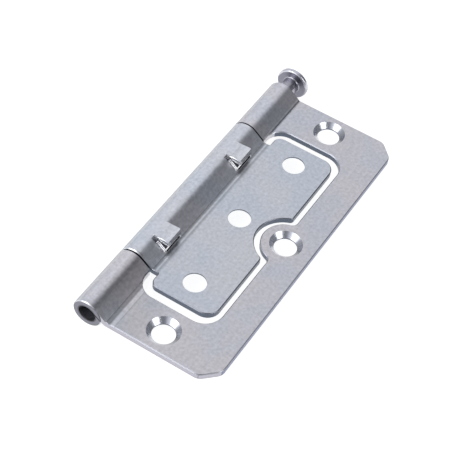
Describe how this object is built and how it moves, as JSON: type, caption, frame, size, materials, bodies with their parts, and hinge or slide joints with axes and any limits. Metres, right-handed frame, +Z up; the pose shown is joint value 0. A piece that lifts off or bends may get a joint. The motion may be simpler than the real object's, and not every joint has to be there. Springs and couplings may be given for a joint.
{
  "type": "non-mortise hinge",
  "caption": "Flat pressed-steel hinge whose inner leaf nests inside the outer leaf, rolled on one loose pin, with countersunk screw holes.",
  "frame": {"origin": "middle of the pin axis, halfway along the outer leaf", "axes": "+Y along the pin towards its head; +X across both leaves, away from the barrel; +Z up, the side that the outer leaf's countersinks and the lugs are on"},
  "size_m": [0.0436, 0.1069, 0.01],
  "materials": {
    "leaf_zinc": "bright zinc plate on pressed sheet steel, pale bluish grey with a fine mottle",
    "pin_zinc": "bright zinc plate on drawn steel wire, a little darker and glossier than the sheet"
  },
  "bodies": {
    "outer_leaf": {"outer_leaf": "leaf_zinc"},
    "inner_leaf": {"inner_leaf": "leaf_zinc"},
    "hinge_pin": {"hinge_pin": "pin_zinc"}
  },
  "joints": [
    {"name": "leaf_swing", "type": "hinge", "parent": "outer_leaf", "child": "inner_leaf", "pos_m": [0, 0, 0], "axis": [0, -1, 0], "continuous": true},
    {"name": "pin_draw", "type": "slide", "parent": "outer_leaf", "child": "hinge_pin", "axis": [0, 1, 0], "range_m": [-0.0049, 0.096]}
  ]
}
